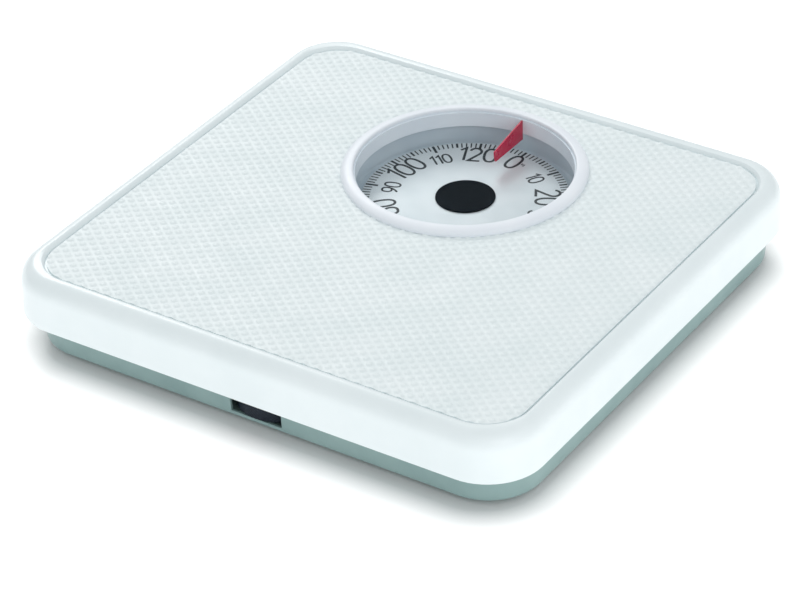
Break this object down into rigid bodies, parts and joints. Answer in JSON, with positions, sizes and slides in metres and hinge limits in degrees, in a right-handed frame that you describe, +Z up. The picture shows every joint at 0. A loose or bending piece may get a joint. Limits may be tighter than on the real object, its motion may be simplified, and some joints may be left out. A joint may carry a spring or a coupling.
{
  "type": "mechanical dial platform scale",
  "caption": "Low square step-on scale: ribbed-mat platform over a pan, round window with a turning dial and fixed red pointer, thumbwheel in front.",
  "frame": {"origin": "on the floor, under the centre of the cover's outline", "axes": "+X to the right along the user's edge, +Y from the user towards the dial, +Z up"},
  "size_m": [0.28, 0.27, 0.0473],
  "materials": {
    "pan_paint": "satin grey-teal enamel",
    "foot_rubber": "matte",
    "zinc_steel": "zinc-plated pressed steel",
    "lever_steel": "rolled strip steel",
    "spring_steel": "oiled spring wire",
    "brass": "turned",
    "white_acetal": "moulded",
    "surround_plastic": "moulded grey",
    "cover_paint": "glossy white enamel",
    "mat_vinyl": "embossed white vinyl",
    "bezel_plastic": "moulded white",
    "clear_plastic": "clear moulded window",
    "pointer_plastic": "red transparent-tinted",
    "dial_face": "silver-white printed sheet",
    "hub_black": "moulded black",
    "wheel_plastic": "ribbed charcoal",
    "hub_plastic": "moulded"
  },
  "bodies": {
    "base": {"base_pan": "pan_paint", "rubber_feet": "foot_rubber", "fulcrum_brackets": "zinc_steel", "bracket_rivets": "zinc_steel", "guide_posts": "zinc_steel", "main_spring": "spring_steel", "adjuster_stud": "zinc_steel", "crank_bracket": "zinc_steel", "crank_pin": "zinc_steel", "dial_bridge": "zinc_steel", "dial_bush": "brass", "spindle_foot_bush": "brass", "rack_guides": "white_acetal", "dial_surround": "surround_plastic", "surround_screws": "zinc_steel", "return_spring_post": "zinc_steel", "rack_return_spring": "spring_steel"},
    "platform": {"top_cover": "cover_paint", "platform_mat": "mat_vinyl", "dial_bezel": "bezel_plastic", "window_lens": "clear_plastic", "pointer": "pointer_plastic", "load_hangers": "zinc_steel", "bezel_retainer": "zinc_steel"},
    "left_long_lever": {"long_lever_left": "lever_steel", "long_lever_left_pins": "zinc_steel"},
    "right_long_lever": {"long_lever_right": "lever_steel", "long_lever_right_pins": "zinc_steel"},
    "left_short_lever": {"short_lever_left": "lever_steel", "short_lever_left_pins": "zinc_steel"},
    "right_short_lever": {"short_lever_right": "lever_steel", "short_lever_right_pins": "zinc_steel"},
    "plate": {"spring_plate": "zinc_steel"},
    "crank": {"bell_crank": "lever_steel", "crank_link_pin": "zinc_steel"},
    "rack": {"gear_rack": "lever_steel"},
    "dial": {"dial_spindle": "zinc_steel", "drive_pinion": "brass", "dial_hub": "hub_plastic", "dial_disc": "dial_face", "hub_cap": "hub_black"},
    "thumbwheel": {"zero_wheel": "wheel_plastic"},
    "seat": {"spring_seat": "brass"}
  },
  "joints": [
    {"name": "platform_sink", "type": "slide", "parent": "base", "child": "platform", "axis": [0, 0, -1], "range_m": [0, 0.000514], "stiffness_N_per_m": 2500000, "springref_m": -0.00001},
    {"name": "dial_turn", "type": "hinge", "parent": "base", "child": "dial", "pos_m": [0, 0.0525, 0.0287], "axis": [0, 0, 1], "range_deg": [0, 364.6]},
    {"name": "left_long_lever_tilt", "type": "hinge", "parent": "base", "child": "left_long_lever", "pos_m": [-0.104, 0.112, 0.0325], "axis": [1, 0, 0], "range_deg": [0, 1.98]},
    {"name": "right_long_lever_tilt", "type": "hinge", "parent": "base", "child": "right_long_lever", "pos_m": [0.104, 0.112, 0.0325], "axis": [1, 0, 0], "range_deg": [0, 1.98]},
    {"name": "left_short_lever_tilt", "type": "hinge", "parent": "base", "child": "left_short_lever", "pos_m": [-0.104, -0.112, 0.0325], "axis": [-1, 0, 0], "range_deg": [0, 1.98]},
    {"name": "right_short_lever_tilt", "type": "hinge", "parent": "base", "child": "right_short_lever", "pos_m": [0.104, -0.112, 0.0325], "axis": [-1, 0, 0], "range_deg": [0, 1.98]},
    {"name": "plate_drop", "type": "slide", "parent": "base", "child": "plate", "axis": [0, 0, -1], "range_m": [0, 0.00752], "deforming": ["main_spring"]},
    {"name": "crank_turn", "type": "hinge", "parent": "base", "child": "crank", "pos_m": [0, -0.064, 0.028], "axis": [1, 0, 0], "range_deg": [0, 54.9]},
    {"name": "rack_travel", "type": "slide", "parent": "base", "child": "rack", "axis": [0, 1, 0], "range_m": [0, 0.0191], "deforming": ["rack_return_spring"]},
    {"name": "zero_turn", "type": "hinge", "parent": "base", "child": "thumbwheel", "pos_m": [0, -0.1065, 0.012], "axis": [0, 0, 1], "range_deg": [-360, 360]},
    {"name": "seat_rise", "type": "slide", "parent": "base", "child": "seat", "axis": [0, 0, 1], "range_m": [-0.00101, 0.00101]}
  ],
  "couplings": [
    {"joint": "dial_turn", "follows": "platform_sink", "rad_per_m": 12359},
    {"joint": "left_long_lever_tilt", "follows": "platform_sink", "rad_per_m": 66.667},
    {"joint": "right_long_lever_tilt", "follows": "platform_sink", "rad_per_m": 66.667},
    {"joint": "left_short_lever_tilt", "follows": "platform_sink", "rad_per_m": 66.667},
    {"joint": "right_short_lever_tilt", "follows": "platform_sink", "rad_per_m": 66.667},
    {"joint": "plate_drop", "follows": "platform_sink", "ratio": 14.567},
    {"joint": "crank_turn", "follows": "platform_sink", "rad_per_m": 1857.6},
    {"joint": "rack_travel", "follows": "platform_sink", "ratio": 37.078},
    {"joint": "seat_rise", "follows": "zero_turn", "m_per_rad": -0.00015915}
  ]
}
